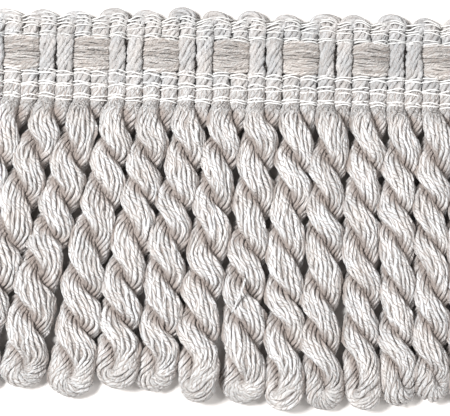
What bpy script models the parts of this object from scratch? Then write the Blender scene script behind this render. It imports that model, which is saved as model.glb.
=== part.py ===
"""Cut length of twisted rope fringe lying on its back: woven heading, flat filler band and a skirt of looped ropes.

The heading runs along X with its face up, and the ropes hang towards -Y. Sizes are in metres.
"""

import math
from collections import namedtuple

import bmesh
import bpy
from mathutils import Vector

# Rope skirt: one row per rope, from left to right.
# lean: how far the foot lies to the right of the root; drop: root line to foot, in metres.
# turn: how far the foot loop is twisted out of the surface, in degrees.
Rope = namedtuple("Rope", ("lean", "drop", "turn"))
ROPE_TABLE = (
    (-0.0188, 0.0561, 10),
    (-0.0172, 0.0552, 45),
    (-0.0150, 0.0561, -15),
    (-0.0125, 0.0553, -15),
    (-0.0094, 0.0568, 5),
    (-0.0075, 0.0550, 45),
    (-0.0063, 0.0554, 0),
    (-0.0051, 0.0569, 40),
    (-0.0029, 0.0573, -5),
    (-0.0015, 0.0582, 45),
    (-0.0009, 0.0579, -10),
    (0.0004, 0.0575, 40),
    (0.0004, 0.0566, -30),
    (0.0002, 0.0558, -20),
    (0.0002, 0.0560, 35),
)
ROPES = tuple(Rope(*row) for row in ROPE_TABLE)
ROPE_COUNT = len(ROPES)
ROPE_PITCH = 0.00665
ROPE_HALF_WIDTH = 0.0031
ROPE_HALF_DEPTH = 0.0026
ROPE_PRESS = 0.87
ROPE_CREASE = 0.5
PLY_SHOULDER = 0.68
ROPE_REACH = math.hypot(PLY_SHOULDER * ROPE_HALF_WIDTH, ROPE_HALF_DEPTH)
ROPE_BOW = -0.0012
ROPE_GAP = 0.0004
ROPE_NARROWEST = 0.9
ROPE_WIDEST = 1.2
ROOT_HALF_WIDTH = 0.0028
ROOT_HALF_DEPTH = 0.0011
ROOT_HEIGHT = 0.0012
ROOT_INSIDE = 0.0012
ROOT_RISE = 0.0050
ROOT_TURN = 170.0
FIRST_LOBE = 0.0055
LAST_LOBE = 0.0114
LOBE_COUNT = 6
FOOT_CENTRE = 0.0045
FOOT_HALF_WIDTH = 0.0044
FOOT_HALF_DEPTH = 0.0023
FOOT_STEPS = (0.0041, 0.0029, 0.0018, 0.0009, 0.0003, 0.00004)
ROPE_STEPS = 36
REST_SNAP = 0.00015

# Woven heading: heights above the root line of the ropes, thicknesses above the back.
COLUMN_PITCH = ROPE_PITCH / 2
COLUMN_COUNT = 2 * ROPE_COUNT
SHOULDER_SHARE = 0.24
CROWN_HEIGHT = 0.00305
SHOULDER_HEIGHT = 0.00275
GROOVE_HEIGHT = 0.0021
WARP_DIP = 0.0004
HEIGHT_CHANGE = 0.00007
HEIGHT_WAVE = 2.1
STRIP_BOTTOM = -0.0002
STRIP_WARP = 0.0006
STRIP_PILLOW = 0.0017
STRIP_TOP = 0.0030
HEADING_BOTTOM = 0.0033
LOWER_PILLOW = 0.0040
LOWER_WARP = 0.0052
BAND_BOTTOM = 0.0061
BAND_TOP = 0.0120
BAND_STEP = 0.00005
UPPER_WARP = 0.0125
UPPER_PILLOW = 0.0134
TOP_WARP = 0.0144
HEADING_TOP = 0.0163
LOOP_RISE = 0.0010
LOOP_CHANGE = 0.25
LOOP_WAVE = 2.3
LOOP_HALF_WIDTH = 0.0022
BRIDGE_UNDERSIDE = 0.0018
TUCKED_CROWN = 0.0013
TUCKED_GROOVE = 0.0009

# Filler band that weaves over two columns and under two.
FILLER_CLEARANCE = 0.0003
FILLER_THICKNESS = 0.0010
FILLER_MIDDLE = 0.00155
FILLER_SWING = 0.00065
FILLER_SHARPNESS = 3.5
FILLER_OVERHANG = 0.0004
FILLER_FLAT = 0.72
FILLER_SHARES = (0.0, SHOULDER_SHARE / 2, 0.3, 0.5, 0.7, 1.0 - SHOULDER_SHARE / 2)

COTTON = (0.80, 0.77, 0.73, 1.0)
FILLER_TONE = (0.72, 0.67, 0.63, 1.0)


def clear_scene():
    """Remove every object so that the build starts empty."""
    for item in list(bpy.data.objects):
        bpy.data.objects.remove(item, do_unlink=True)


def make_material(name, colour):
    """Return a matt yarn material."""
    material = bpy.data.materials.new(name)
    material.use_nodes = True
    shader = material.node_tree.nodes["Principled BSDF"]
    shader.inputs["Base Color"].default_value = colour
    shader.inputs["Roughness"].default_value = 0.9
    return material


def make_object(name, bm, collection, material, smooth):
    """Turn a bmesh into a named object in a collection."""
    bmesh.ops.recalc_face_normals(bm, faces=bm.faces)
    for face in bm.faces:
        face.smooth = smooth
    mesh = bpy.data.meshes.new(name)
    bm.to_mesh(mesh)
    bm.free()
    mesh.materials.append(material)
    made = bpy.data.objects.new(name, mesh)
    collection.objects.link(made)
    return made


def rope_root_x(index):
    """Centre of a rope's two weft columns."""
    return (index - (ROPE_COUNT - 1) / 2) * ROPE_PITCH


def rope_room(index, share):
    """Half the room between the ropes on both sides, at a share of the drop."""
    near = [i for i in (index - 1, index + 1) if 0 <= i < ROPE_COUNT]
    drift = min((ROPES[i].lean - ROPES[index].lean) * (i - index) for i in near)
    return (ROPE_PITCH + drift * share - ROPE_GAP) / 2


def foot_half_width(index):
    """Half width of a foot loop that leaves a gap to the loops beside it."""
    return min(FOOT_HALF_WIDTH, rope_room(index, 1.0))


def foot_rest_height(index):
    """Height of a foot's middle when its twisted loop rests on the surface."""
    widest = foot_half_width(index)
    angle = math.radians(ROPES[index].turn)
    edge = widest * abs(math.sin(angle))
    flank = PLY_SHOULDER * edge + FOOT_HALF_DEPTH * math.cos(angle)
    return max(edge, flank) * ROPE_PRESS


def rope_widening(index, share):
    """Ropes spread flat where they have room and are pressed narrower where they have little."""
    room = rope_room(index, share) / ROPE_REACH
    return min(max(room, ROPE_NARROWEST), ROPE_WIDEST)


def rope_turn(along, drop, foot_turn):
    """Angle of a rope's section in degrees at a distance below the root line."""
    regular = drop - LAST_LOBE - FIRST_LOBE
    rate = 180.0 * (LOBE_COUNT - 1) / regular
    if along < FIRST_LOBE:
        slow = 2.0 * (ROOT_TURN - 90.0) / FIRST_LOBE - rate
        bend = (rate - slow) / (2.0 * FIRST_LOBE)
        start = max(along, 0.0)
        return ROOT_TURN - slow * start - bend * start * start
    if along < drop - LAST_LOBE:
        return 90.0 - rate * (along - FIRST_LOBE)
    opening = LAST_LOBE - FOOT_CENTRE
    past = min(along - (drop - LAST_LOBE), opening)
    change = 90.0 - foot_turn
    slowing = (rate * opening - change) / (opening * opening)
    return 90.0 - 180.0 * (LOBE_COUNT - 1) - rate * past + slowing * past * past


def blend(low, high, share):
    """Smooth step from one value to another."""
    share = min(max(share, 0.0), 1.0)
    return low + (high - low) * share * share * (3.0 - 2.0 * share)


def rounding(distance, radius):
    """Share of the full size left at a distance from a round end."""
    if distance >= radius:
        return 1.0
    return math.sqrt(max(0.0, 1.0 - (1.0 - distance / radius) ** 2))


def rope_ring(index, along):
    """Eight points of a rope's two-ply section at a distance below the root line."""
    lean, drop, foot_turn = ROPES[index]
    widest = foot_half_width(index)
    left = drop - along
    opening = (along - (drop - LAST_LOBE)) / (LAST_LOBE - FOOT_CENTRE)
    rise = along / ROOT_RISE
    half_width = blend(ROOT_HALF_WIDTH, ROPE_HALF_WIDTH, rise)
    half_depth = blend(ROOT_HALF_DEPTH, ROPE_HALF_DEPTH, rise)
    half_width = blend(half_width, widest, opening) * rounding(left, widest)
    half_depth = blend(half_depth, FOOT_HALF_DEPTH, opening) * rounding(left, FOOT_HALF_DEPTH)
    crease = blend(ROPE_CREASE, 1.0, 1.0 - left / FOOT_HALF_WIDTH)
    height = blend(ROOT_HEIGHT, ROPE_REACH * ROPE_PRESS, rise)
    height = blend(height, foot_rest_height(index), opening)
    share = min(max(along / drop, 0.0), 1.0)
    centre_x = rope_root_x(index) + lean * share + ROPE_BOW * math.sin(math.pi * share)
    angle = math.radians(rope_turn(along, drop, foot_turn))
    wider = blend(rope_widening(index, share), 1.0, opening)
    outline = (
        (1.0, 0.0),
        (PLY_SHOULDER, 1.0),
        (0.0, crease),
        (-PLY_SHOULDER, 1.0),
        (-1.0, 0.0),
        (-PLY_SHOULDER, -1.0),
        (0.0, -crease),
        (PLY_SHOULDER, -1.0),
    )
    ring = []
    for across, deep in outline:
        wide = across * half_width
        thick = deep * half_depth
        x = (wide * math.cos(angle) - thick * math.sin(angle)) * wider
        z = wide * math.sin(angle) + thick * math.cos(angle)
        z = height + z * ROPE_PRESS
        if z < REST_SNAP:
            z = 0.0
        ring.append(Vector((centre_x + x, -along, z)))
    return ring


def add_loft(bm, rings):
    """Skin a closed body through rings of equal length, its edges leaning with the twist."""
    made = [[bm.verts.new(point) for point in ring] for ring in rings]
    count = len(rings[0])
    for upper, lower in zip(made, made[1:]):
        for side in range(count):
            after = (side + 1) % count
            bm.faces.new((upper[side], upper[after], lower[after]))
            bm.faces.new((upper[side], lower[after], lower[side]))
    bm.faces.new(made[0])
    bm.faces.new(reversed(made[-1]))


def make_ropes(collection, material):
    """All ropes as closed bodies in one object."""
    bm = bmesh.new()
    for index, rope in enumerate(ROPES):
        drop = rope.drop
        body = drop - FOOT_STEPS[0] - ROPE_GAP
        stations = [-ROOT_INSIDE]
        stations += [body * step / ROPE_STEPS for step in range(ROPE_STEPS + 1)]
        stations += [drop - step for step in FOOT_STEPS]
        add_loft(bm, [rope_ring(index, along) for along in stations])
    return make_object("rope_bodies", bm, collection, material, True)


def column_stations():
    """X of every grid line: a groove, two shoulders and a crown for each column, and the last groove."""
    start = -ROPE_COUNT * ROPE_PITCH / 2
    lines = []
    for column in range(COLUMN_COUNT):
        for share in (0.0, SHOULDER_SHARE, 0.5, 1.0 - SHOULDER_SHARE):
            lines.append((start + (column + share) * COLUMN_PITCH, column, share))
    lines.append((start + COLUMN_COUNT * COLUMN_PITCH, COLUMN_COUNT, 0.0))
    return lines


def is_pair_edge(column, share):
    """True on the groove between the columns of two ropes."""
    return share == 0.0 and column % 2 == 0


def is_front_pair(column):
    """True where the two columns pass over the filler."""
    return (min(column, COLUMN_COUNT - 1) // 2) % 2 == 0


def loop_rise(x):
    """Height of the turned weft above the straight top edge; one loop joins each two ropes."""
    start = -ROPE_COUNT * ROPE_PITCH / 2
    nearest = round((x - start) / ROPE_PITCH)
    if nearest in (0, ROPE_COUNT):
        return 0.0
    away = (x - start - nearest * ROPE_PITCH) / LOOP_HALF_WIDTH
    change = 1.0 + LOOP_CHANGE * math.sin(LOOP_WAVE * nearest)
    return LOOP_RISE * change * math.sqrt(max(0.0, 1.0 - away * away))


def crown_height(column, share, dip):
    """Face height over the weft columns, lower in the grooves and under the warp threads."""
    if share == 0.0:
        return GROOVE_HEIGHT - dip * 0.5
    height = CROWN_HEIGHT if share == 0.5 else SHOULDER_HEIGHT
    return height - dip + HEIGHT_CHANGE * math.sin(HEIGHT_WAVE * column)


def make_woven(name, rows, collection, material):
    """Woven piece from a grid whose face follows the weft columns.

    rows: (y, warp dip share, place) with place one of plain, band or edge.
    """
    lines = column_stations()
    bm = bmesh.new()
    bmesh.ops.create_grid(bm, x_segments=len(lines) - 1, y_segments=len(rows) - 1, size=1.0)
    bm.verts.ensure_lookup_table()
    backs = {}
    for row, (y, dip, place) in enumerate(rows):
        for line, (x, column, share) in enumerate(lines):
            vert = bm.verts[row * len(lines) + line]
            top = crown_height(column, share, dip * WARP_DIP)
            back = 0.0
            if place == "band" and is_front_pair(column):
                back = BRIDGE_UNDERSIDE
                if share == 0.0:
                    top += WARP_DIP
            elif place == "band":
                top = TUCKED_GROOVE if share == 0.0 else TUCKED_CROWN
            lift = loop_rise(x) if place == "edge" else 0.0
            vert.co = Vector((x, y + lift, top))
            backs[vert.index] = back
    slits = []
    for face in bm.faces:
        middle_row = {vert.index // len(lines) for vert in face.verts}
        touches = {lines[vert.index % len(lines)][1:] for vert in face.verts}
        in_band = all(rows[row][2] == "band" for row in middle_row)
        at_edge = any(is_pair_edge(*touch) and 0 < touch[0] < COLUMN_COUNT for touch in touches)
        if in_band and at_edge:
            slits.append(face)
    order = bm.verts.layers.int.new("order")
    for vert in bm.verts:
        vert[order] = vert.index
    bmesh.ops.delete(bm, geom=slits, context="FACES")
    raised = bmesh.ops.extrude_face_region(bm, geom=bm.faces[:])
    for vert in raised["geom"]:
        if isinstance(vert, bmesh.types.BMVert):
            vert.co.z = backs[vert[order]]
    return make_object(name, bm, collection, material, False)


def make_filler(collection, material):
    """Flat bundle that weaves through the heading's middle band."""
    start = -ROPE_COUNT * ROPE_PITCH / 2
    stations = [start - FILLER_OVERHANG]
    for pair in range(ROPE_COUNT):
        for share in FILLER_SHARES:
            stations.append(start + (pair + share) * ROPE_PITCH)
    stations.append(-start)
    stations.append(-start + FILLER_OVERHANG)
    low = BAND_BOTTOM + FILLER_CLEARANCE
    high = BAND_TOP - FILLER_CLEARANCE
    middle = (low + high) / 2
    half = (high - low) / 2
    rings = []
    for x in stations:
        inner = min(max(x, start + ROPE_PITCH / 2), -start - ROPE_PITCH / 2)
        wave = math.sin(math.pi * (inner - start) / ROPE_PITCH)
        swing = math.tanh(FILLER_SHARPNESS * wave) / math.tanh(FILLER_SHARPNESS)
        z = FILLER_MIDDLE - FILLER_SWING * swing
        thick = FILLER_THICKNESS / 2
        outline = (
            (1.0, 0.0),
            (FILLER_FLAT, thick),
            (-FILLER_FLAT, thick),
            (-1.0, 0.0),
            (-FILLER_FLAT, -thick),
            (FILLER_FLAT, -thick),
        )
        rings.append([Vector((x, middle + half * share, z + off)) for share, off in outline])
    bm = bmesh.new()
    add_loft(bm, rings)
    return make_object("filler_band", bm, collection, material, False)


def centre_on_origin(objects):
    """Move everything so that the middle of the whole footprint is the origin."""
    points = [vert.co for item in objects for vert in item.data.vertices]
    for axis in (0, 1):
        values = [point[axis] for point in points]
        middle = (min(values) + max(values)) / 2
        for item in objects:
            item.location[axis] = -middle


def main():
    clear_scene()
    fringe = bpy.data.collections.new("bullion_fringe")
    helpers = bpy.data.collections.new("helpers")
    bpy.context.scene.collection.children.link(fringe)
    bpy.context.scene.collection.children.link(helpers)
    heading_cotton = make_material("heading_cotton", COTTON)
    skirt_cotton = make_material("skirt_cotton", COTTON)
    filler_yarn = make_material("filler_yarn", FILLER_TONE)

    heading_rows = (
        (HEADING_BOTTOM, 0.6, "plain"),
        (LOWER_PILLOW, 0.0, "plain"),
        (LOWER_WARP, 1.0, "plain"),
        (BAND_BOTTOM, 0.4, "plain"),
        (BAND_BOTTOM + BAND_STEP, 0.4, "band"),
        ((BAND_BOTTOM + BAND_TOP) / 2, 0.0, "band"),
        (BAND_TOP - BAND_STEP, 0.4, "band"),
        (BAND_TOP, 0.4, "plain"),
        (UPPER_WARP, 1.0, "plain"),
        (UPPER_PILLOW, 0.0, "plain"),
        (TOP_WARP, 1.0, "plain"),
        (HEADING_TOP, 1.6, "edge"),
    )
    heading = make_woven("heading", heading_rows, fringe, heading_cotton)
    filler = make_filler(fringe, filler_yarn)

    strip_rows = (
        (STRIP_BOTTOM, 0.6, "plain"),
        (STRIP_WARP, 1.0, "plain"),
        (STRIP_PILLOW, 0.0, "plain"),
        (STRIP_TOP, 0.6, "plain"),
    )
    skirt = make_woven("skirt", strip_rows, fringe, skirt_cotton)
    ropes = make_ropes(helpers, skirt_cotton)
    ropes.hide_render = True
    ropes.display_type = "WIRE"
    union = skirt.modifiers.new("ropes", "BOOLEAN")
    union.operation = "UNION"
    union.solver = "EXACT"
    union.object = ropes
    centre_on_origin((heading, filler, skirt, ropes))


main()
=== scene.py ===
"""Dressed model of a cut length of bullion fringe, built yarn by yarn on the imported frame.

Lengths are in millimetres from the middle of the root line, where the ropes leave the heading, unless a name
ends in _M. Each yarn is a tube; the yarns of a rope or a weft column are laid round a path as one bundle.
"""

import math
from dataclasses import dataclass

import bpy
import numpy as np
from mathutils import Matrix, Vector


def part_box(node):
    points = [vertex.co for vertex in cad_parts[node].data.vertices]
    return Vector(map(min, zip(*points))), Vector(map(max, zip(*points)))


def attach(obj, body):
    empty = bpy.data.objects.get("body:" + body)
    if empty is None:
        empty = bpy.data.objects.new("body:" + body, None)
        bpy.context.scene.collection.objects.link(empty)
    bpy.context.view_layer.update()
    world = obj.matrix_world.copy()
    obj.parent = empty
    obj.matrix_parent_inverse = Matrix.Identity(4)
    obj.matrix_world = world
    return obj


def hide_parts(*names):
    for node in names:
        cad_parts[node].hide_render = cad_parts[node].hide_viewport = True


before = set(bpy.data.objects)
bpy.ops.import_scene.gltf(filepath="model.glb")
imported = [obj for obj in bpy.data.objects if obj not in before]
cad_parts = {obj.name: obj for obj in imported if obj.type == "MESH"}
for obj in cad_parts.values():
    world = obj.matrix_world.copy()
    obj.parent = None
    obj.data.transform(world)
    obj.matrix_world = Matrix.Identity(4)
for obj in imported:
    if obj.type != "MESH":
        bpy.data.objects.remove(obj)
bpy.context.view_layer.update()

MM = 0.001

# The ropes draw from seeds counted up from the first one, and each other piece from its own.
SEED = 20261127
WEFT_SEED = SEED + 100
WARP_SEED = SEED + 200
FILLER_SEED = SEED + 300

# Ropes from left to right: lean of the foot to the right, drop, twist of the foot loop in degrees.
ROPES = (
    (-18.8, 56.1, 10),
    (-17.2, 55.2, 55),
    (-15.0, 56.1, -15),
    (-12.5, 55.3, -15),
    (-9.4, 56.8, 5),
    (-7.5, 55.0, 55),
    (-6.3, 55.4, 0),
    (-5.1, 56.9, 52),
    (-2.9, 57.3, -5),
    (-1.5, 58.2, 55),
    (-0.9, 57.9, -10),
    (0.4, 57.5, 52),
    (0.4, 56.6, -30),
    (0.2, 55.8, -20),
    (0.2, 56.0, 45),
)
ROPE_COUNT = len(ROPES)

# Distance between two ropes at their roots, bow to the right half way down, height of a rope's middle.
ROPE_PITCH = 6.65
ROPE_BOW = -1.2
ROPE_CENTRE_Z = 3.05

# Height of a rope's section as a share of its round height, because it lies on the table.
ROPE_PRESS = 0.87

# Half the room at which a rope is as wide as drawn. Others get wider or narrower by their room, within
# these shares of its width.
ROPE_REACH = 3.22
ROPE_NARROWEST = 0.9
ROPE_WIDEST = 1.28

# Twist of a rope: angle of its section at the root line, length in which its two columns close, lengths
# of the first and the last lobe, and number of lobes above the last.
ROOT_TURN = 170.0
ROOT_RISE = 2.8
FIRST_LOBE = 5.5
LAST_LOBE = 10.4
LOBE_COUNT = 6
HALF_TURN = 180.0

# Foot: height over the loop's end at which it is fully open, greatest half width, share of the room that
# it takes, and how much wider a turned foot is.
FOOT_CENTRE = 3.6
FOOT_HALF_WIDTH = 4.4
FOOT_SPREAD = 1.1
TURNED_FOOT_WIDER = 0.16

# One ply of a rope: distance of its middle from the rope's middle, and half thicknesses of its ring of
# yarns. On the foot the first two are shares of the foot's half width.
PLY_OFFSET = 1.66
PLY_HALF_RADIAL = 1.62
PLY_HALF_SIDE = 2.22
FOOT_OFFSET = 0.47
FOOT_HALF_RADIAL = 0.56
FOOT_HALF_SIDE = 1.8

# Length in which the yarns go once round a ply, on a rope, a flat foot and a turned foot, share of a foot's
# opening at which its own starts, and degrees over which a foot counts as turned.
PLY_LAY = 15.5
FLAT_FOOT_LAY = 6.5
TURNED_FOOT_LAY = 14.0
FOOT_LAY_START = 0.45
TURNED_FOOT = 25.0

# Yarns of a rope: their number, radius in the woven ends, the rope and its foot, reach past the ring that
# they lie on, and height of a yarn over its width.
PLY_YARNS = 16
WOVEN_YARN = 0.42
YARN_RADIUS = 0.405
FOOT_YARN = 0.40
YARN_REACH = 0.44
YARN_PROUD = 1.15

# Where the yarns lie in pairs: how far two of them move together, and how much evener they stand out.
YARN_PAIRING = 0.42
PAIRED_EVEN = 0.6

# Differences between yarns in height, thickness and tone, and between ropes in tone.
YARN_UNEVEN = 0.05
YARN_SIZES = (0.82, 1.18)
YARN_TONE_SPREAD = 0.13
ROPE_TONE_SPREAD = 0.04

# Slow changes along a yarn, a bundle or a rope: length of the waves and most change.
SWELL = (13.0, 0.12)
YARN_DRIFT = (9.0, 0.3)
YARN_LIFT = (6.3, 0.08)
YARN_TONE_DRIFT = (11.0, 0.09)
YARN_THINNING = (4.1, 0.14)
ROPE_TWIST_DRIFT = (28.0, 19.0)
ROPE_SWAY = (27.0, 0.36)
WARP_DRIFT = (7.1, 0.2)
WARP_LIFT = (5.0, 0.04)
FILLER_DRIFT = (9.0, 0.21)
FILLER_LIFT = (8.0, 0.05)
FILLER_THINNING = (6.0, 0.14)

# A slow change is the sum of two waves, with these shares of its length and change.
OCTAVES = (1.0, 0.43)

# Tone of the yarns, its change in the woven ends, length below the root line in which that fades, and its
# change on the feet, a painted shade that darkens them.
MIDDLE_TONE = 0.5
WOVEN_TONE = -0.48
TONE_RISE = 5.5
FOOT_SHADE_TONE = -0.30

# Painted shade where two plies meet: how far out it starts from a ply's inner side, on the lobes and on the
# feet, and after what width it is full, in shares of the half thickness.
LOBE_CREASE_SHADE = 1.22
FOOT_CREASE_SHADE = 0.62
CREASE_SHADE_WIDTH = 0.75

# Painted shade of the next rope darkens yarns from this distance inside the end of a rope's room, by this
# share where it ends. The woven ends have this much more room, so that no painted shade falls on them.
CONTACT_SHADE_REACH = 0.75
CONTACT_SHADE_SHARE = 0.85
WOVEN_ROOM = 2.0

# Core that fills a bundle: size in the ring of yarns, how much darker it is as painted shade between the
# yarns, its own share of painted shade and what the plies add to it.
CORE_SHARE = 0.93
CORE_SHADE = 0.3
CORE_CREASE_SHADE = 0.15
CORE_PLY_CREASE_SHADE = 0.35

# Fineness of the tubes: distance of the rings on a rope and in the woven ends, sides of a yarn and a core,
# and rings in the turn at a path's end, with their angles between the two plies.
RING_STEP = 0.72
WOVEN_STEP = 0.4
TUBE_SIDES = 5
CORE_SIDES = 8
TURN_STEPS = 12
TURNS = np.linspace(0.0, math.pi, TURN_STEPS + 2)[1:-1]

# The bake square holds the unrolled tubes in columns: rings in a column over the number of columns, and
# margin on each side of a column. Yarn numbers start again after so many yarns.
STRIP_ASPECT = 3.4
BAKE_MARGIN = 0.06
UV_YARNS = 200

# Slack yarn on one rope: the rope's number and the yarn's start, pull and end.
LOOSE_ROPE = 8
LOOSE_YARN = ((3.7, -33.2, 6.0), (3.0, -36.2, 9.2), (1.4, -39.6, 5.1))
LOOSE_RADIUS = 0.26
LOOSE_TONE = 1.3
LOOSE_RINGS = 18

# Weft columns of the heading, two to a rope.
COLUMN_PITCH = ROPE_PITCH / 2
COLUMN_COUNT = 2 * ROPE_COUNT
HEADING_LEFT = -ROPE_COUNT * ROPE_PITCH / 2
HEADING_MIDDLE_Z = 1.5
HEADING_TOP = 16.3
COLUMN_HALF_WIDTH = 1.77
COLUMN_HALF_DEPTH = 1.40
COLUMN_LAY = 9.0
COLUMN_YARNS = 6
COLUMN_YARN = 0.54
COLUMN_RINGS = 25

# A warp row takes this off a column's half depth and half width, less and less up to this distance.
COLUMN_PINCH = 0.40
PINCH_SQUEEZE = 0.10
PINCH_REACH = 0.8

# The ropes' bundles begin at the top of the woven strip, and their rings lie closer down to this far
# below the root line. The CAD's heading starts one gap above the strip. The weft columns start almost on
# the strip.
STRIP_TOP = 3.0
WOVEN_END = 1.5
HEADING_GAP = 0.3
WEFT_START = STRIP_TOP + 0.05

# Band that the filler crosses: its edges, half width of a column in it, how far before its edges the
# columns start to bend, and the length in which they have bent.
BAND_BOTTOM = 5.65
BAND_TOP = 12.2
BAND_HALF_WIDTH = 1.67
BAND_EDGE = 0.5
BAND_BEND = 1.2

# Middle over the back and half thickness of a column that passes under the filler or over it.
UNDER_FILLER = (0.80, 0.73)
OVER_FILLER = (2.26, 0.93)

# Outermost columns: how far below the heading's top they end and start to get thin, the length in which
# they do, half sizes of the thin end, and rings.
END_SHORT = 0.2
END_THIN_START = 1.4
END_THIN = 1.2
END_HALF_WIDTH = 0.7
END_HALF_DEPTH = 0.5
END_RINGS = 26

# Turned weft on the top edge, one loop between each two ropes: shift to the right, height, half width.
LOOPS = (
    (0.5, 17.4, 3.2),
    (0.3, 17.4, 3.2),
    (0.4, 17.2, 2.9),
    (0.9, 17.9, 3.0),
    (0.3, 17.5, 2.8),
    (0.4, 18.4, 2.7),
    (0.4, 17.9, 2.8),
    (0.4, 18.0, 2.7),
    (0.6, 17.6, 2.7),
    (1.2, 18.0, 3.2),
    (0.0, 17.7, 2.9),
    (0.6, 18.0, 3.1),
    (0.3, 17.4, 2.7),
    (0.1, 17.6, 2.9),
)

# Height of a loop's turn over its width, half thickness of its ring of yarns as a share of its half
# width, radius, reach and lay of the yarns, and the length in which two columns go over into a loop.
LOOP_FLATTEN = 0.45
LOOP_SHARE = 0.42
LOOP_YARN = 0.46
LOOP_REACH = 0.50
LOOP_LAY = 26.0
LOOP_OPENING = 2.0

# The loops are this much lighter than the columns, starting at WARP_ARCH_START.
LOOP_TONE = 0.15

# Warp rows: height over the root line, half the space between the two threads of a pair, tone of the
# threads.
WARP_ROWS = (
    (0.42, 0.29, 0.80),
    (2.85, 0.30, 0.80),
    (5.10, 0.30, 0.80),
    (12.22, 0.25, 0.15),
    (14.20, 0.34, 0.25),
    (15.55, 0.28, 0.15),
)

# Warp threads: radius, width over height, swing over and under the columns and its sharpness, distance of
# the two phases, rise over the middle of a column, and spread of the tone.
WARP_RADIUS = 0.135
WARP_FLAT = 1.15
WARP_SWING = 1.2
WARP_SHARPNESS = 2.2
WARP_STAGGER = 0.34
WARP_BOW = 0.2
WARP_TONE_SPREAD = 0.1

# The threads start this far past the left end and stop within a step of as much past the right end.
WARP_OVERHANG = 0.15
WARP_STEP = COLUMN_PITCH / 8

# Rows above this height follow the loops, the more the higher they lie, by this rise at the heading's
# top.
WARP_ARCH_START = 13.4
WARP_ARCH = 0.75

# Filler: rows in each of its two layers, half height of the bundle and what it gains in a window, shift of
# a layer in shares of a row, distance past the ends, distance of the rings, and sharpness of the swing.
FILLER_ROWS = 14
FILLER_SPREAD = 2.72
FILLER_BULGE = 0.45
FILLER_STAGGER = 0.25
FILLER_OVERHANG = 0.35
FILLER_STEP = 0.7
FILLER_SHARPNESS = 2.4

# Height over the back: middle and swing, half the space between the layers and what the crown adds to it,
# rise of the crown in a window, and the power that shapes the crown.
FILLER_MIDDLE_Z = 1.52
FILLER_SWING = 0.70
FILLER_LAYER = 0.10
FILLER_LAYER_CROWN = 0.15
FILLER_CROWN = 0.30
FILLER_CROWN_POWER = 2.5

# Filler yarns: radius, thinnest and thickest share of it, width over height, tone and its spread.
FILLER_RADIUS = 0.30
FILLER_SIZES = (0.72, 1.22)
FILLER_FLAT = 1.1
FILLER_TONE = 0.52
FILLER_TONE_SPREAD = 0.33

# Noise textures: scale, detail, roughness. The first three lie along the yarn, the others in the piece's
# space.
FIBRE_NOISE = (1.0, 3.0, 0.6)
DRIFT_NOISE = (0.3, 1.0, 0.5)
BREAK_NOISE = (0.62, 2.0, 0.5)
MOTTLE_NOISE = (2600.0, 4.0, 0.7)
PATCH_NOISE = (190.0, 2.0, 0.5)
LUMP_NOISE = (1900.0, 3.0, 0.5)

# Fibre widths round a yarn, their shift for each millimetre along it, and distance in the noise between
# two yarns.
FIBRES_AROUND = 11.0
FIBRE_SLANT = 3.6
YARN_APART = 7.31

# Grains are the parts of a yarn's two plies that show: length of a turn, drift of the turns, step from
# yarn to yarn in their numbers, difference in tone, width of the painted shade between them, and part in
# the bumps.
YARN_PLIES = 2.0
GRAIN_LENGTH = 3.5
GRAIN_DRIFT = 5.0
GRAIN_NUMBERS = 17.0
GRAIN_TONE = 0.56
GRAIN_GROOVE = 0.34
GRAIN_BUMP = 1.6

# How much the mottling and the fibres change the tone.
MOTTLE_TONE = 0.8
FIBRE_TONE = 0.5

# Brownish patches: colour, greatest share, contrast and offset of their noise. Dark yarns have less of
# them.
PATCH_TONE = (0.78, 0.70, 0.64)
PATCH_SHARE = 0.30
PATCH_CONTRAST = 4.0
PATCH_OFFSET = 1.6
PATCH_TINT = 3.0

# Painted shade in the grooves between yarns: shares of the way round, from a yarn's outside, where it
# starts and is full, contrast and offset of the noise that breaks it, and the colour of all painted shade.
GROOVE_START = 0.10
GROOVE_END = 0.27
BREAK_CONTRAST = 2.2
BREAK_OFFSET = -0.35
GROOVE_SHADE_TONE = (0.31, 0.25, 0.218)

# Strength of the painted shade stored on the yarns' points and of the painted shade low over the back.
CREASE_SHADE_SHARE = 0.85
LOW_SHADE_SHARE = 0.6

# Heights over the back between which yarns get darker towards the back, a painted shade.
ROPE_SHADE = (0.4, 3.0)
HEADING_SHADE = (0.2, 1.6)
WARP_SHADE = (0.4, 1.6)

# Faint shine and fluff of cotton.
YARN_SPECULAR = 0.2
YARN_SHEEN = 0.1

# Table top: colour, roughness, size and depth under the fringe.
TABLE_COLOUR = (0.90, 0.865, 0.84)
TABLE_ROUGHNESS = 0.9
TABLE_SIZE_M = 1.6
TABLE_DEPTH_M = 0.0001

# Round lights: name, place and diameter in metres, power in watts. The surroundings give a little more.
LIGHTS = (
    ("key", (-0.31, 0.11, 0.55), 0.18, 6.0),
    ("fill", (0.36, -0.02, 0.46), 0.20, 1.1),
    ("front", (0.10, -0.50, 0.30), 0.20, 0.9),
)
SKY_STRENGTH = 0.16

# The camera looks straight down on this place, frames this width at this height and is rolled by this
# angle. Its lens is long, so that the view is almost parallel.
CAMERA_PLACE = (-0.41, -19.94)
CAMERA_WIDTH = 85.5
CAMERA_FOCUS_Z = 3.0
CAMERA_ROLL = 1.4
CAMERA_LENS = 150.0
CAMERA_SENSOR = 36.0
CAMERA_NEAR_M = 0.01

# Place of the root line's middle in the frame, from the low corner of the CAD's heading.
HEADING_CORNER = np.array(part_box("heading")[0]) / MM
ORIGIN = np.array((HEADING_CORNER[0] - HEADING_LEFT, HEADING_CORNER[1] - STRIP_TOP - HEADING_GAP, 0.0))


def blend(low, high, share):
    """Smooth step between two values, element by element."""
    share = np.clip(share, 0.0, 1.0)
    return low + (high - low) * share * share * (3.0 - 2.0 * share)


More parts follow.
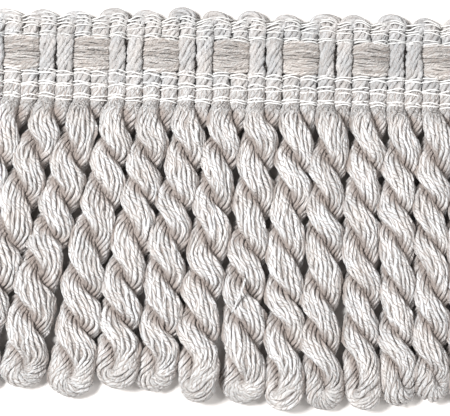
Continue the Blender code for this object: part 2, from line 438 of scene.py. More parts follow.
def wobble(rng, along, drift):
    """Smooth random change along a yarn; drift is the length of its waves and its most change."""
    period, size = drift
    value = np.zeros_like(along)
    for octave in OCTAVES:
        phase = rng.uniform(0.0, 2.0 * math.pi)
        value = value + octave * np.sin(2.0 * math.pi * along / (period * octave) + phase)
    return value * size / sum(OCTAVES)


def flattened(wave, sharpness):
    """Wave between -1 and 1 with flatter tops and steeper flanks."""
    return np.tanh(sharpness * wave) / math.tanh(sharpness)


def arc_length(points):
    """Distance along a chain of points."""
    steps = np.linalg.norm(np.diff(points, axis=0), axis=1)
    return np.concatenate(([0.0], np.cumsum(steps)))


def ring_points(centres, first_axis, second_axis, first_half, second_half, sides):
    """Elliptic rings round centres, one row of points per ring."""
    turn = math.pi + np.arange(sides) * 2.0 * math.pi / sides
    first = np.broadcast_to(first_half, (len(centres),))[:, None] * np.cos(turn)
    second = np.broadcast_to(second_half, (len(centres),))[:, None] * np.sin(turn)
    points = centres[:, None] + first_axis[:, None] * first[:, :, None]
    return points + second_axis[:, None] * second[:, :, None]


class YarnMesh:
    """Collects the tubes of one piece and turns them into a mesh with yarn coordinates, tones and painted
    shade.
    """

    def __init__(self):
        self.points = []
        self.quads = []
        self.caps = []
        self.cells = []
        self.tones_and_shades = []
        self.crease_shades = []
        self.rings = 0
        self.count = 0

    def add_rings(self, rings, along, tone_and_shade, crease_shade=0.0):
        """Skin one tube through rings of points; along is each ring's distance from the tube's start."""
        count, sides = rings.shape[:2]
        index = self.count + np.arange(count * sides).reshape(count, sides)
        after = np.roll(index, -1, axis=1)
        quads = np.stack((index[:-1], after[:-1], after[1:], index[1:]), axis=2)
        ring_number = np.repeat(self.rings + np.arange(count - 1), sides)
        side_number = np.tile(np.arange(sides), count - 1)
        low = np.repeat(along[:-1], sides)
        high = np.repeat(along[1:], sides)
        self.points.append(rings.reshape(-1, 3))
        self.quads.append(quads.reshape(-1, 4))
        self.caps += [index[0][::-1], index[-1]]
        self.cells.append((ring_number, side_number, sides, low, high))
        self.tones_and_shades.append(np.repeat(np.broadcast_to(tone_and_shade, (count,)), sides))
        self.crease_shades.append(np.repeat(np.broadcast_to(crease_shade, (count,)), sides))
        self.rings += count - 1
        self.count += count * sides

    def add_yarn(self, centres, outward, half_out, half_side, tone_and_shade, crease_shade=0.0):
        """One yarn along centres: the direction that faces outward, half widths that way and across."""
        tangent = np.gradient(centres, axis=0)
        tangent /= np.linalg.norm(tangent, axis=1)[:, None]
        outward = outward - (outward * tangent).sum(axis=1)[:, None] * tangent
        outward /= np.linalg.norm(outward, axis=1)[:, None]
        sideways = np.cross(tangent, outward)
        rings = ring_points(centres, outward, sideways, half_out, half_side, TUBE_SIDES)
        self.add_rings(rings, arc_length(centres), tone_and_shade, crease_shade)

    def add_level_yarn(self, centres, half_high, half_wide, tone_and_shade):
        """One yarn that faces straight up."""
        up = np.tile((0.0, 0.0, 1.0), (len(centres), 1))
        self.add_yarn(centres, up, half_high, half_wide, tone_and_shade)

    def build(self, name, material):
        """Make the piece. Yarns that would sink into the table are pressed flat on it."""
        points = np.concatenate(self.points)
        points[:, 2] = np.maximum(points[:, 2], 0.0)
        points = (points + ORIGIN) * MM
        quads = np.concatenate(self.quads)
        loops = np.concatenate([quads.reshape(-1)] + self.caps)
        sizes = np.concatenate([np.full(len(quads), 4)] + [[len(cap)] for cap in self.caps])
        starts = np.concatenate(([0], np.cumsum(sizes)[:-1]))
        mesh = bpy.data.meshes.new(name)
        mesh.vertices.add(len(points))
        mesh.vertices.foreach_set("co", points.astype(np.float32).reshape(-1))
        mesh.loops.add(len(loops))
        mesh.loops.foreach_set("vertex_index", loops.astype(np.int32))
        mesh.polygons.add(len(sizes))
        mesh.polygons.foreach_set("loop_start", starts.astype(np.int32))
        mesh.polygons.foreach_set("use_smooth", np.ones(len(sizes), dtype=bool))
        mesh.update(calc_edges=True)
        self.add_uvs(mesh, len(loops))
        # Both stored values carry painted shade: darker cores and feet, and shade between plies and ropes.
        for layer_name, values in (("tone_and_shade", self.tones_and_shades), ("crease_shade", self.crease_shades)):
            layer = mesh.attributes.new(layer_name, "FLOAT", "POINT")
            layer.data.foreach_set("value", np.concatenate(values).astype(np.float32))
        mesh.materials.append(material)
        piece = bpy.data.objects.new(name, mesh)
        bpy.context.scene.collection.objects.link(piece)
        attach(piece, "root")
        return piece

    def add_uvs(self, mesh, loop_count):
        """OFBake holds the unrolled tubes in columns of a square; yarn_uv runs around and along each yarn."""
        column_rings = max(1, math.ceil(math.sqrt(self.rings * STRIP_ASPECT)))
        columns = math.ceil(self.rings / column_rings)
        bake = np.zeros((loop_count, 2))
        yarn = np.zeros((loop_count, 2))
        corner_side = np.array((0, 1, 1, 0))
        corner_ring = np.array((0, 0, 1, 1))
        start = 0
        for number, (ring, side, sides, low, high) in enumerate(self.cells):
            end = start + 4 * len(ring)
            around = (side[:, None] + corner_side) / sides
            across = (ring // column_rings)[:, None] + BAKE_MARGIN + (1.0 - 2.0 * BAKE_MARGIN) * around
            bake[start:end, 0] = across.reshape(-1) / columns
            bake[start:end, 1] = ((ring % column_rings)[:, None] + corner_ring).reshape(-1) / column_rings
            yarn[start:end, 0] = around.reshape(-1) + number % UV_YARNS
            yarn[start:end, 1] = np.where(corner_ring == 0, low[:, None], high[:, None]).reshape(-1)
            start = end
        for layer_name, values in (("OFBake", bake), ("yarn_uv", yarn)):
            layer = mesh.uv_layers.new(name=layer_name)
            layer.data.foreach_set("uv", values.astype(np.float32).reshape(-1))


@dataclass
class Bundle:
    """Path that a bundle of yarns follows, with one value or direction for each ring along it.

    centres is the bundle's middle. radial points away from the other ply, side across it, and half_radial and
    half_side are the half thicknesses of the ring of yarns in these directions. The yarns have this radius
    and go once round in the length lay. ply says how far out from the inner side the painted shade of the
    other ply reaches, paired how far the yarns lie in pairs, and shift how much their tone changes, with
    painted shade on the feet. limits holds the X between which there is room for the bundle;
    nearer to them the shade of the next rope is painted on.
    """

    centres: np.ndarray
    radial: np.ndarray
    side: np.ndarray
    half_radial: np.ndarray
    half_side: np.ndarray
    lay: np.ndarray
    radius: np.ndarray
    ply: np.ndarray
    paired: np.ndarray
    shift: np.ndarray
    limits: tuple


def add_bundle(mesh, rng, bundle, tone, yarns):
    """Yarns laid round a path over a filled core."""
    along = arc_length(bundle.centres)
    swell = 1.0 + wobble(rng, along, SWELL)
    half_radial = bundle.half_radial * swell
    half_side = bundle.half_side * swell
    even_out = 0.5 * (half_side - half_radial) / (half_side + half_radial)
    turned = rng.uniform(0.0, 2.0 * math.pi) + np.cumsum(np.gradient(along) * 2.0 * math.pi / bundle.lay)
    for yarn in range(yarns):
        mate = YARN_PAIRING * bundle.paired * (0.5 if yarn % 2 == 0 else -0.5)
        angle = turned + (yarn + mate + wobble(rng, along, YARN_DRIFT)) * 2.0 * math.pi / yarns
        angle = angle - even_out * np.sin(2.0 * angle)
        uneven = rng.uniform(-YARN_UNEVEN, YARN_UNEVEN) + wobble(rng, along, YARN_LIFT)
        proud = 1.0 + uneven * (1.0 - PAIRED_EVEN * bundle.paired)
        reach = bundle.radial * (half_radial * proud * np.cos(angle))[:, None]
        reach = reach + bundle.side * (half_side * proud * np.sin(angle))[:, None]
        yarn_tone = tone + rng.normal(0.0, YARN_TONE_SPREAD) + wobble(rng, along, YARN_TONE_DRIFT)
        thick = bundle.radius * rng.uniform(*YARN_SIZES) * (1.0 + wobble(rng, along, YARN_THINNING))
        place = bundle.centres + reach
        # Painted shade where the other ply lies against this one.
        inner = (bundle.ply - 1.0 - np.cos(angle)) / CREASE_SHADE_WIDTH
        # Painted shade where the yarns come near the next rope.
        past = np.maximum(bundle.limits[0] - place[:, 0], place[:, 0] - bundle.limits[1])
        outer = (past + CONTACT_SHADE_REACH) / CONTACT_SHADE_REACH
        crease_shade = blend(0.0, 1.0, np.maximum(inner, outer * CONTACT_SHADE_SHARE))
        mesh.add_yarn(place, reach, thick * YARN_PROUD, thick, yarn_tone + bundle.shift, crease_shade)
    wide = half_radial * CORE_SHARE
    deep = half_side * CORE_SHARE
    core = ring_points(bundle.centres, bundle.radial, bundle.side, wide, deep, CORE_SIDES)
    # The core is darker, a painted shade that shows between the yarns.
    core_crease_shade = CORE_CREASE_SHADE + CORE_PLY_CREASE_SHADE * bundle.ply
    mesh.add_rings(core, along, tone + bundle.shift - CORE_SHADE, core_crease_shade)


def out_and_back(values):
    """Values along one ply, held over the turn at its end and run back along the other ply."""
    return np.concatenate((values, np.repeat(values[-1:], TURN_STEPS, axis=0), values[::-1]))


def rope_root_x(index):
    """Middle of a rope's two weft columns."""
    return (index - (ROPE_COUNT - 1) / 2) * ROPE_PITCH


def rope_room(index, share):
    """Half the room between the ropes on both sides, at a share of the drop."""
    near = [i for i in (index - 1, index + 1) if 0 <= i < ROPE_COUNT]
    drift = min((ROPES[i][0] - ROPES[index][0]) * (i - index) for i in near)
    return (ROPE_PITCH + drift * share) / 2


def rope_turn(along, drop, foot_turn):
    """Angle of a rope's section in degrees at distances below the root line.

    The section lies flat in the heading and stands upright at the end of the first lobe. It turns at an even
    rate down the regular lobes and slows down to the foot's own angle.
    """
    upright = HALF_TURN / 2
    regular = drop - LAST_LOBE - FIRST_LOBE
    rate = HALF_TURN * (LOBE_COUNT - 1) / regular
    slow = 2.0 * (ROOT_TURN - upright) / FIRST_LOBE - rate
    bend = (rate - slow) / (2.0 * FIRST_LOBE)
    start = np.clip(along, 0.0, FIRST_LOBE)
    above = (HALF_TURN - ROOT_TURN) * np.clip(-along, 0.0, 1.0)
    first = ROOT_TURN - slow * start - bend * start * start + above
    middle = rate * np.clip(along - FIRST_LOBE, 0.0, regular)
    opening = LAST_LOBE - FOOT_CENTRE
    past = np.clip(along - (drop - LAST_LOBE), 0.0, opening)
    slowing = (rate * opening - (upright - foot_turn)) / (opening * opening)
    return first - middle - rate * past + slowing * past * past


def foot_height(angle, offset, half_radial, half_side):
    """Height at which the middle of a foot lies when it rests on the table, from its section."""
    slant_sin = abs(math.sin(angle))
    slant_cos = abs(math.cos(angle))
    thick = math.hypot((half_radial + YARN_REACH) * slant_sin, (half_side + YARN_REACH) * slant_cos)
    return (offset * slant_sin + thick) * ROPE_PRESS


def rope_path(index, rng):
    """Path of the weft bundle that makes a rope: down one ply, round the foot and up the other."""
    lean, drop, foot_turn = ROPES[index]
    widest = min(FOOT_HALF_WIDTH, rope_room(index, 1.0) * FOOT_SPREAD)
    low = drop - widest
    woven = np.arange(-STRIP_TOP, WOVEN_END, WOVEN_STEP)
    down = np.concatenate((woven, np.linspace(WOVEN_END, low, round((low - WOVEN_END) / RING_STEP) + 1)))
    rise = down / ROOT_RISE
    opening = (down - (drop - LAST_LOBE)) / (LAST_LOBE - FOOT_CENTRE)
    to_foot = (opening - FOOT_LAY_START) / (1.0 - FOOT_LAY_START)

    def stages(woven_value, rope_value, foot_value, foot_share=opening):
        """Value that goes from the woven ends' to the rope's and on to the foot's."""
        return blend(blend(woven_value, rope_value, rise), foot_value, foot_share)

    share = np.clip(down / drop, 0.0, 1.0)
    room = np.array([rope_room(index, value) for value in share])
    turned_wider = 1.0 + TURNED_FOOT_WIDER * abs(math.sin(math.radians(foot_turn)))
    wider = stages(1.0, np.clip(room / ROPE_REACH, ROPE_NARROWEST, ROPE_WIDEST), turned_wider)
    press = blend(1.0, ROPE_PRESS, rise)
    free = blend(0.0, 1.0, rise)
    angle = np.radians(rope_turn(down, drop, foot_turn) + free * wobble(rng, down, ROPE_TWIST_DRIFT))
    offset = stages(COLUMN_PITCH / 2, PLY_OFFSET, FOOT_OFFSET * widest)
    pinch = pinch_share(-down)
    column_wide = COLUMN_HALF_WIDTH - WOVEN_YARN * YARN_PROUD - PINCH_SQUEEZE * pinch
    column_deep = COLUMN_HALF_DEPTH - WOVEN_YARN * YARN_PROUD - COLUMN_PINCH * pinch
    half_radial = stages(column_wide, PLY_HALF_RADIAL, FOOT_HALF_RADIAL * widest - YARN_REACH)
    half_side = stages(column_deep, PLY_HALF_SIDE, FOOT_HALF_SIDE)
    foot_z = foot_height(angle[-1], offset[-1], half_radial[-1], half_side[-1])
    middle_x = rope_root_x(index) + lean * share + ROPE_BOW * np.sin(math.pi * share)
    middle_x = middle_x + free * wobble(rng, down, ROPE_SWAY)
    centre = np.stack((middle_x, -down, stages(HEADING_MIDDLE_Z, ROPE_CENTRE_Z, foot_z)), axis=1)
    zero = np.zeros_like(down)
    radial = np.stack((np.cos(angle) * wider, zero, np.sin(angle) * press), axis=1)
    side = np.stack((-np.sin(angle) * wider, zero, np.cos(angle) * press), axis=1)
    bend = np.cos(TURNS)[:, None] * radial[-1] + np.sin(TURNS)[:, None] * np.array((0.0, -1.0, 0.0))
    foot_lay = TURNED_FOOT_LAY if abs(foot_turn) > TURNED_FOOT else FLAT_FOOT_LAY
    # The feet are darker by painted shade.
    shift = blend(blend(WOVEN_TONE, 0.0, down / TONE_RISE), FOOT_SHADE_TONE, opening)
    near = centre + radial * offset[:, None]
    far = centre - radial * offset[:, None]
    # Room within which no painted shade of the next rope falls.
    free_room = room + WOVEN_ROOM * (1.0 - free)
    return Bundle(
        centres=np.concatenate((near, centre[-1] + bend * offset[-1], far[::-1])),
        radial=np.concatenate((radial, bend, -radial[::-1])),
        side=out_and_back(side),
        half_radial=out_and_back(half_radial),
        half_side=out_and_back(half_side),
        lay=out_and_back(stages(COLUMN_LAY, PLY_LAY, foot_lay, to_foot)),
        radius=out_and_back(stages(WOVEN_YARN, YARN_RADIUS, FOOT_YARN)),
        ply=out_and_back(stages(0.0, LOBE_CREASE_SHADE, FOOT_CREASE_SHADE)),
        paired=out_and_back(stages(1.0, 0.0, 1.0, to_foot)),
        shift=out_and_back(shift),
        limits=(out_and_back(middle_x - free_room), out_and_back(middle_x + free_room)),
    )


def add_loose_yarn(mesh):
    """One slack yarn that bows out of the face of a rope."""
    share = np.linspace(0.0, 1.0, LOOSE_RINGS)
    start, pull, end = (np.array(point) for point in LOOSE_YARN)
    points = np.outer((1.0 - share) ** 2, start) + np.outer(2.0 * share * (1.0 - share), pull)
    points = points + np.outer(share**2, end)
    mesh.add_level_yarn(points, LOOSE_RADIUS, LOOSE_RADIUS, LOOSE_TONE)


def make_ropes(material):
    """Every rope with its two bound ends, one piece each."""
    ropes = []
    for index in range(ROPE_COUNT):
        rng = np.random.default_rng(SEED + index)
        mesh = YarnMesh()
        path = rope_path(index, rng)
        add_bundle(mesh, rng, path, MIDDLE_TONE + rng.normal(0.0, ROPE_TONE_SPREAD), PLY_YARNS)
        if index == LOOSE_ROPE:
            add_loose_yarn(mesh)
        ropes.append(mesh.build(f"rope_{index + 1:02d}", material))
    return ropes


def pinch_share(height):
    """How far the warp threads pull a column in, from 0 between two rows to 1 under a row."""
    share = np.zeros_like(height)
    for row, _, _ in WARP_ROWS:
        share = np.maximum(share, blend(1.0, 0.0, np.abs(height - row) / PINCH_REACH))
    return share


def loop_arch(x):
    """Share of a loop's rise along the top edge, 1 on the middle of a loop and 0 between the loops."""
    share = np.zeros_like(x)
    for boundary, (shift, _, half_width) in enumerate(LOOPS, start=1):
        away = (x - HEADING_LEFT - boundary * ROPE_PITCH - shift) / half_width
        share = np.maximum(share, np.clip(1.0 - away * away, 0.0, 1.0))
    return share


def column_profile(height, pair):
    """Middle over the back, half thickness and half width of a weft column, at heights over the root line.

    The columns of even pairs pass over the filler, those of odd pairs under it.
    """
    into = np.minimum(height - BAND_BOTTOM, BAND_TOP - height)
    in_band = blend(0.0, 1.0, (into + BAND_EDGE) / BAND_BEND)
    band_middle, band_half = OVER_FILLER if pair % 2 == 0 else UNDER_FILLER
    middle = blend(HEADING_MIDDLE_Z, band_middle, in_band)
    pinch = pinch_share(height)
    deep = blend(COLUMN_HALF_DEPTH - COLUMN_PINCH * pinch, band_half, in_band)
    wide = blend(COLUMN_HALF_WIDTH - PINCH_SQUEEZE * pinch, BAND_HALF_WIDTH, in_band)
    return middle, deep - COLUMN_YARN * YARN_PROUD, wide - COLUMN_YARN * YARN_PROUD


def weft_path(boundary):
    """Path of the weft between two ropes: up a column, round a loop on the top edge and down the next."""
    shift, top, half_width = LOOPS[boundary - 1]
    x = HEADING_LEFT + boundary * ROPE_PITCH
    ring_half = LOOP_SHARE * (half_width - LOOP_REACH)
    radius = half_width - LOOP_REACH - ring_half
    turn_height = top - radius * LOOP_FLATTEN - ring_half - LOOP_REACH
    up = np.linspace(WEFT_START, turn_height, COLUMN_RINGS)
    inward = (up - (turn_height - LOOP_OPENING)) / LOOP_OPENING
    offset = blend(COLUMN_PITCH / 2, radius, inward)
    centre_x = x + shift * blend(0.0, 1.0, inward)
    zero = np.zeros_like(up)
    unit = np.ones_like(up)
    left_middle, left_half, left_wide = column_profile(up, boundary - 1)
    right_middle, right_half, right_wide = column_profile(up, boundary)
    left = np.stack((centre_x - offset, up, left_middle), axis=1)
    right = np.stack((centre_x + offset, up, right_middle), axis=1)
    over = np.stack((-np.cos(TURNS), np.sin(TURNS), 0.0 * TURNS), axis=1)
    squashed = over * (radius, radius * LOOP_FLATTEN, 1.0)
    bend = np.array((x + shift, turn_height, HEADING_MIDDLE_Z)) + squashed
    outward = np.stack((-unit, zero, zero), axis=1)
    left_wide = blend(left_wide, ring_half, inward)
    right_wide = blend(right_wide, ring_half, inward)
    nothing = out_and_back(zero)
    return Bundle(
        centres=np.concatenate((left, bend, right[::-1])),
        radial=np.concatenate((outward, over, -outward)),
        side=out_and_back(np.stack((zero, zero, unit), axis=1)),
        half_radial=np.concatenate((left_wide, np.full(TURN_STEPS, ring_half), right_wide[::-1])),
        half_side=np.concatenate((left_half, np.full(TURN_STEPS, left_half[-1]), right_half[::-1])),
        lay=out_and_back(blend(COLUMN_LAY, LOOP_LAY, inward)),
        radius=out_and_back(blend(COLUMN_YARN, LOOP_YARN, inward)),
        ply=nothing,
        paired=nothing,
        shift=out_and_back(blend(0.0, LOOP_TONE, up - WARP_ARCH_START)),
        limits=(nothing - np.inf, nothing + np.inf),
    )


def end_path(column):
    """Path of the weft in an outermost column, which ends under the top warp threads."""
    up = np.linspace(WEFT_START, HEADING_TOP - END_SHORT, END_RINGS)
    middle, half, wide = column_profile(up, column // 2)
    zero = np.zeros_like(up)
    unit = np.ones_like(up)
    closing = (up - (HEADING_TOP - END_THIN_START)) / END_THIN
    x = HEADING_LEFT + (column + 0.5) * COLUMN_PITCH
    return Bundle(
        centres=np.stack((x + zero, up, middle), axis=1),
        radial=np.stack((-unit, zero, zero), axis=1),
        side=np.stack((zero, zero, unit), axis=1),
        half_radial=blend(wide, END_HALF_WIDTH, closing),
        half_side=blend(half, END_HALF_DEPTH, closing),
        lay=COLUMN_LAY * unit,
        radius=COLUMN_YARN * unit,
        ply=zero,
        paired=zero,
        shift=zero,
        limits=(zero - np.inf, zero + np.inf),
    )


def make_weft(material):
    """The weft columns of the heading with the loops of its top edge."""
    rng = np.random.default_rng(WEFT_SEED)
    mesh = YarnMesh()
    for boundary in range(1, ROPE_COUNT):
        add_bundle(mesh, rng, weft_path(boundary), MIDDLE_TONE, COLUMN_YARNS)
    for column in (0, COLUMN_COUNT - 1):
        add_bundle(mesh, rng, end_path(column), MIDDLE_TONE, COLUMN_YARNS)
    return mesh.build("heading_weft", material)


def make_warp(material):
    """Pairs of fine threads that cross the columns in plain weave, each row in two opposite phases."""
    rng = np.random.default_rng(WARP_SEED)
    mesh = YarnMesh()
    x = np.arange(HEADING_LEFT - WARP_OVERHANG, -HEADING_LEFT + WARP_OVERHANG, WARP_STEP)
    for height, spread, tone in WARP_ROWS:
        arch = WARP_ARCH * max(0.0, (height - WARP_ARCH_START) / (HEADING_TOP - WARP_ARCH_START))
        for phase in (-1, 1):
            wave = phase * np.sin(math.pi * (x - HEADING_LEFT) / COLUMN_PITCH)
            swing = flattened(wave, WARP_SHARPNESS)
            for side in (-1, 1):
                y = height + side * spread + phase * WARP_STAGGER / 2 + wobble(rng, x, WARP_DRIFT)
                y = y + WARP_BOW * np.abs(wave) + arch * (loop_arch(x) - 0.5)
                z = HEADING_MIDDLE_Z + WARP_SWING * swing + wobble(rng, x, WARP_LIFT)
                points = np.stack((x, y, z), axis=1)
                thread_tone = tone + rng.normal(0.0, WARP_TONE_SPREAD)
                mesh.add_level_yarn(points, WARP_RADIUS, WARP_RADIUS * WARP_FLAT, thread_tone)
    return mesh.build("warp_threads", material)


def make_filler(material):
    """Flat bundle of soft yarns that weaves under the two columns of a pair and over the next two."""
    rng = np.random.default_rng(FILLER_SEED)
    mesh = YarnMesh()
    x = np.arange(HEADING_LEFT - FILLER_OVERHANG, -HEADING_LEFT + FILLER_OVERHANG, FILLER_STEP)
    inner = np.clip(x, HEADING_LEFT + ROPE_PITCH / 2, -HEADING_LEFT - ROPE_PITCH / 2)
    wave = np.sin(math.pi * (inner - HEADING_LEFT) / ROPE_PITCH)
    swing = flattened(wave, FILLER_SHARPNESS)
    over = np.maximum(-wave, 0.0)
    centre = (BAND_BOTTOM + BAND_TOP) / 2
    for layer in (1, -1):
        for row in range(FILLER_ROWS):
            share = (row + 0.5 + FILLER_STAGGER * layer) / FILLER_ROWS * 2.0 - 1.0
            crown = 1.0 - abs(share) ** FILLER_CROWN_POWER
            y = centre + share * (FILLER_SPREAD + FILLER_BULGE * over) + wobble(rng, x, FILLER_DRIFT)
            z = FILLER_MIDDLE_Z - FILLER_SWING * swing + layer * (FILLER_LAYER + FILLER_LAYER_CROWN * crown)
            z = z + FILLER_CROWN * over * crown + wobble(rng, x, FILLER_LIFT)
            points = np.stack((x, y, z), axis=1)
            thick = FILLER_RADIUS * rng.uniform(*FILLER_SIZES) * (1.0 + wobble(rng, x, FILLER_THINNING))
            yarn_tone = FILLER_TONE + rng.normal(0.0, FILLER_TONE_SPREAD)
            mesh.add_level_yarn(points, thick, thick * FILLER_FLAT, yarn_tone)
    return mesh.build("filler_yarns", material)


def add_node(tree, kind, settings, links):
    """One shader node with its settings and the outputs that feed it, by socket name or number."""
    node = tree.nodes.new(kind)
    for key, value in settings.items():
        if isinstance(key, str) and hasattr(node, key):
            setattr(node, key, value)
        else:
            node.inputs[key].default_value = value
    for key, output in links.items():
        tree.links.new(output, node.inputs[key])
    return node


def reckon(tree, operation, *values):
    """Output of one arithmetic node; each value is a number or another node's output."""
    node = tree.nodes.new("ShaderNodeMath")
    node.operation = operation
    for socket, value in zip(node.inputs, values):
        if isinstance(value, (int, float)):
            socket.default_value = value
        else:
            tree.links.new(value, socket)
    return node.outputs[0]


def hold(tree, value, most):
    """Output of a value held between 0 and the most that it may be."""
    return reckon(tree, "MINIMUM", reckon(tree, "MAXIMUM", value, 0.0), most)


def attribute(tree, name):
    """Output of a value stored on the points of the mesh."""
    return add_node(tree, "ShaderNodeAttribute", {"attribute_name": name}, {}).outputs["Fac"]


def noise(tree, place, look):
    """Output of a noise texture at a place; look is its scale, detail and roughness."""
    scale, detail, roughness = look
    settings = {"Scale": scale, "Detail": detail, "Roughness": roughness}
    return add_node(tree, "ShaderNodeTexNoise", settings, {"Vector": place}).outputs["Fac"]


def smooth_share(tree, value, start, end):
    """Output that goes smoothly from 0 where the value is at start to 1 where it is at end."""
    settings = {"interpolation_type": "SMOOTHSTEP", "From Min": start, "From Max": end}
    return add_node(tree, "ShaderNodeMapRange", settings, {"Value": value}).outputs[0]


def mix_colours(tree, share, first, second):
    """Output of a colour mix, from the first output towards a plain second colour.

    A mix node takes the share at socket 0 and the colours at 6 and 7, and gives the mix as output 2.
    """
    node = add_node(tree, "ShaderNodeMix", {"data_type": "RGBA"}, {0: share, 6: first})
    node.inputs[7].default_value = (*second, 1.0)
    return node.outputs[2]


@dataclass
class YarnLook:
    """Colours and surface of one kind of yarn.

    The tone of a yarn picks its colour between dark and light. groove_shade is the colour of all painted
    shade, groove_shade_share the strength of the painted shade in the grooves between yarns, grain_and_shade
    that of the grains of a yarn's two plies and of the painted shade in the slanted grooves between them, and
    lumps the height of the bumps. shade holds the heights over the back between which the yarns get darker
    towards the back, a painted shade.
    """

    name: str
    dark: tuple
    light: tuple
    groove_shade: tuple
    groove_shade_share: float
    shade: tuple
    roughness: float
    lumps: float
    grain_and_shade: float


ROPE_LOOK = YarnLook(
    name="rope_cotton",
    dark=(0.536, 0.523, 0.514),
    light=(0.948, 0.955, 0.968),
    groove_shade=GROOVE_SHADE_TONE,
    groove_shade_share=0.42,
    shade=ROPE_SHADE,
    roughness=0.9,
    lumps=0.30,
    grain_and_shade=0.88,
)
WEFT_LOOK = YarnLook(
    name="weft_cotton",
    dark=(0.361, 0.358, 0.356),
    light=(0.604, 0.608, 0.616),
    groove_shade=GROOVE_SHADE_TONE,
    groove_shade_share=0.25,
    shade=HEADING_SHADE,
    roughness=0.9,
    lumps=0.28,
    grain_and_shade=0.4,
)
WARP_LOOK = YarnLook(
    name="warp_cotton",
    dark=(0.66, 0.66, 0.65),
    light=(0.97, 0.97, 0.965),
    groove_shade=(0.6, 0.58, 0.55),
    groove_shade_share=0.4,
    shade=WARP_SHADE,
    roughness=0.6,
    lumps=0.06,
    grain_and_shade=0.0,
)
FILLER_LOOK = YarnLook(
    name="filler_cotton",
    dark=(0.36, 0.333, 0.313),
    light=(0.655, 0.631, 0.611),
    groove_shade=GROOVE_SHADE_TONE,
    groove_shade_share=0.15,
    shade=HEADING_SHADE,
    roughness=0.9,
    lumps=0.30,
    grain_and_shade=0.8,
)


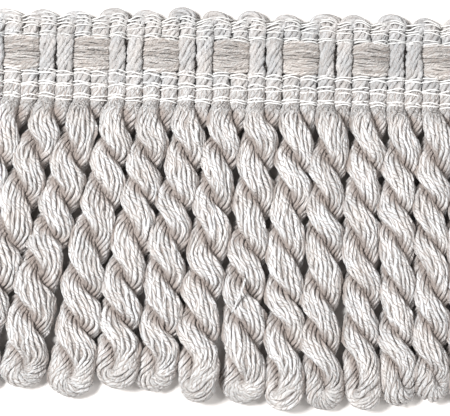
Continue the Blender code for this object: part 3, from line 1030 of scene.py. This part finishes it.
class YarnNodes:
    """Nodes of one yarn material, with the outputs that several of its parts use."""

    def __init__(self, tree):
        """Places on the yarn, the noise of its fibres and the two plies that twist along it."""
        self.tree = tree
        self.tone_and_shade = attribute(tree, "tone_and_shade")
        self.place = add_node(tree, "ShaderNodeTexCoord", {}, {}).outputs["Object"]
        uv = add_node(tree, "ShaderNodeUVMap", {"uv_map": "yarn_uv"}, {}).outputs["UV"]
        split = add_node(tree, "ShaderNodeSeparateXYZ", {}, {0: uv})
        self.around = reckon(tree, "FRACT", split.outputs["X"])
        self.number = reckon(tree, "FLOOR", split.outputs["X"])
        along = split.outputs["Y"]
        apart = reckon(tree, "MULTIPLY", self.number, YARN_APART)
        fibre = reckon(tree, "MULTIPLY", self.around, FIBRES_AROUND)
        slanted = reckon(tree, "MULTIPLY_ADD", along, FIBRE_SLANT, fibre)
        fibre_axes = {"X": slanted, "Y": along, "Z": apart}
        fibre_place = add_node(tree, "ShaderNodeCombineXYZ", {}, fibre_axes).outputs[0]
        self.fibres = noise(tree, fibre_place, FIBRE_NOISE)
        self.yarn_place = add_node(tree, "ShaderNodeCombineXYZ", {}, {"X": along, "Y": apart}).outputs[0]
        drift = reckon(tree, "MULTIPLY", noise(tree, self.yarn_place, DRIFT_NOISE), GRAIN_DRIFT)
        turns = reckon(tree, "MULTIPLY_ADD", along, YARN_PLIES / GRAIN_LENGTH, drift)
        self.turns = reckon(tree, "MULTIPLY_ADD", self.around, YARN_PLIES, turns)
        self.ridge = reckon(tree, "PINGPONG", self.turns, 0.5)

    def tone(self, grain_and_shade):
        """Tone from the yarn's stored tone, which holds painted shade on cores and feet, the mottling, the
        fibres and the grains.
        """
        tree = self.tree
        mottle = noise(tree, self.place, MOTTLE_NOISE)
        base = reckon(tree, "SUBTRACT", self.tone_and_shade, (MOTTLE_TONE + FIBRE_TONE) / 2)
        tone = reckon(tree, "MULTIPLY_ADD", mottle, MOTTLE_TONE, base)
        tone = reckon(tree, "MULTIPLY_ADD", self.fibres, FIBRE_TONE, tone)
        cell = reckon(tree, "MULTIPLY_ADD", self.number, GRAIN_NUMBERS, reckon(tree, "FLOOR", self.turns))
        cell_noise = add_node(tree, "ShaderNodeTexWhiteNoise", {"noise_dimensions": "1D"}, {"W": cell})
        lighter = reckon(tree, "SUBTRACT", cell_noise.outputs["Value"], 0.5)
        return reckon(tree, "ADD", tone, reckon(tree, "MULTIPLY", lighter, GRAIN_TONE * grain_and_shade))

    def fibre_colour(self, look):
        """Colour of the fibres, with brownish patches."""
        tree = self.tree
        ramp = add_node(tree, "ShaderNodeValToRGB", {}, {"Fac": self.tone(look.grain_and_shade)})
        ramp.color_ramp.elements[0].color = (*look.dark, 1.0)
        ramp.color_ramp.elements[1].color = (*look.light, 1.0)
        patches = noise(tree, self.place, PATCH_NOISE)
        contrast = PATCH_SHARE * PATCH_CONTRAST
        patches = reckon(tree, "MULTIPLY_ADD", patches, contrast, -PATCH_SHARE * PATCH_OFFSET)
        patches = hold(tree, patches, PATCH_SHARE)
        light = reckon(tree, "MINIMUM", reckon(tree, "MULTIPLY", self.tone_and_shade, PATCH_TINT), 1.0)
        return mix_colours(tree, reckon(tree, "MULTIPLY", patches, light), ramp.outputs["Color"], PATCH_TONE)

    def groove_shade(self):
        """Share of the painted shade in the grooves between yarns, broken by noise."""
        tree = self.tree
        aside = reckon(tree, "ABSOLUTE", reckon(tree, "SUBTRACT", self.around, 0.5))
        groove_shade = smooth_share(tree, aside, GROOVE_START, GROOVE_END)
        breaks = noise(tree, self.yarn_place, BREAK_NOISE)
        breaks = reckon(tree, "MULTIPLY_ADD", breaks, BREAK_CONTRAST, BREAK_OFFSET)
        return hold(tree, reckon(tree, "MULTIPLY", groove_shade, breaks), 1.0)

    def depth(self, look):
        """Greatest share of painted shade: between yarns or plies, from the stored shade, or low over the
        back.
        """
        tree = self.tree
        height = add_node(tree, "ShaderNodeSeparateXYZ", {}, {0: self.place}).outputs["Z"]
        shares = (
            (smooth_share(tree, self.ridge, 0.5 * GRAIN_GROOVE, 0.0), look.grain_and_shade),
            (attribute(tree, "crease_shade"), CREASE_SHADE_SHARE),
            (smooth_share(tree, height, look.shade[1] * MM, look.shade[0] * MM), LOW_SHADE_SHARE),
        )
        depth = reckon(tree, "MULTIPLY", self.groove_shade(), look.groove_shade_share)
        for share, strength in shares:
            depth = reckon(tree, "MAXIMUM", depth, reckon(tree, "MULTIPLY", share, strength))
        return depth

    def relief(self, look):
        """Surface direction on raised fibres, lumps and plies."""
        tree = self.tree
        bumps = reckon(tree, "ADD", self.fibres, noise(tree, self.place, LUMP_NOISE))
        bumps = reckon(tree, "MULTIPLY_ADD", self.ridge, GRAIN_BUMP * look.grain_and_shade, bumps)
        settings = {"Strength": 1.0, "Distance": look.lumps * MM}
        return add_node(tree, "ShaderNodeBump", settings, {"Height": bumps}).outputs["Normal"]


def yarn_material(look):
    """Soft spun yarn: tone by yarn, mottled fibres, painted shade between yarns and low down, raised twisted
    fibres.
    """
    material = bpy.data.materials.new(look.name)
    material.use_nodes = True
    tree = material.node_tree
    shader = tree.nodes["Principled BSDF"]
    nodes = YarnNodes(tree)
    # The fibre colour is mixed towards the colour of the painted shade.
    colour = mix_colours(tree, nodes.depth(look), nodes.fibre_colour(look), look.groove_shade)
    tree.links.new(colour, shader.inputs["Base Color"])
    tree.links.new(nodes.relief(look), shader.inputs["Normal"])
    shader.inputs["Roughness"].default_value = look.roughness
    shader.inputs["Specular IOR Level"].default_value = YARN_SPECULAR
    shader.inputs["Sheen Weight"].default_value = YARN_SHEEN
    return material


def make_table():
    """Plain pale table top just below the fringe."""
    material = bpy.data.materials.new("table_top")
    material.use_nodes = True
    shader = material.node_tree.nodes["Principled BSDF"]
    shader.inputs["Base Color"].default_value = (*TABLE_COLOUR, 1.0)
    shader.inputs["Roughness"].default_value = TABLE_ROUGHNESS
    bpy.ops.mesh.primitive_plane_add(size=TABLE_SIZE_M, location=(0.0, 0.0, -TABLE_DEPTH_M))
    table = bpy.context.object
    table.name = "table"
    table.data.materials.append(material)


def add_light(name, place_m, size_m, power):
    """Soft round light aimed at the middle of the fringe."""
    light = bpy.data.lights.new(name, "AREA")
    light.shape = "DISK"
    light.size = size_m
    light.energy = power
    lamp = bpy.data.objects.new(name, light)
    bpy.context.scene.collection.objects.link(lamp)
    lamp.location = place_m
    lamp.rotation_euler = lamp.location.to_track_quat("Z", "Y").to_euler()


def make_camera():
    """Camera straight above the fringe, turned a little as in the photograph."""
    camera = bpy.data.cameras.new("camera")
    camera.lens = CAMERA_LENS
    camera.sensor_width = CAMERA_SENSOR
    camera.clip_start = CAMERA_NEAR_M
    view = bpy.data.objects.new("camera", camera)
    distance_m = camera.lens / camera.sensor_width * CAMERA_WIDTH * MM
    view.location = (*((ORIGIN[:2] + CAMERA_PLACE) * MM), CAMERA_FOCUS_Z * MM + distance_m)
    view.rotation_euler = (0.0, 0.0, math.radians(CAMERA_ROLL))
    bpy.context.scene.collection.objects.link(view)
    bpy.context.scene.camera = view


def make_stage():
    """Table, lights, pale surroundings and camera."""
    make_table()
    for light in LIGHTS:
        add_light(*light)
    world = bpy.data.worlds.new("studio")
    world.use_nodes = True
    background = world.node_tree.nodes["Background"]
    background.inputs["Color"].default_value = (1.0, 1.0, 1.0, 1.0)
    background.inputs["Strength"].default_value = SKY_STRENGTH
    bpy.context.scene.world = world
    bpy.context.scene.view_settings.view_transform = "Standard"
    make_camera()


make_stage()
ropes = make_ropes(yarn_material(ROPE_LOOK))
weft = make_weft(yarn_material(WEFT_LOOK))
warp = make_warp(yarn_material(WARP_LOOK))
filler = make_filler(yarn_material(FILLER_LOOK))

for rope in ropes:
    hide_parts("skirt")
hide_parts("heading")
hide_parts("filler_band")
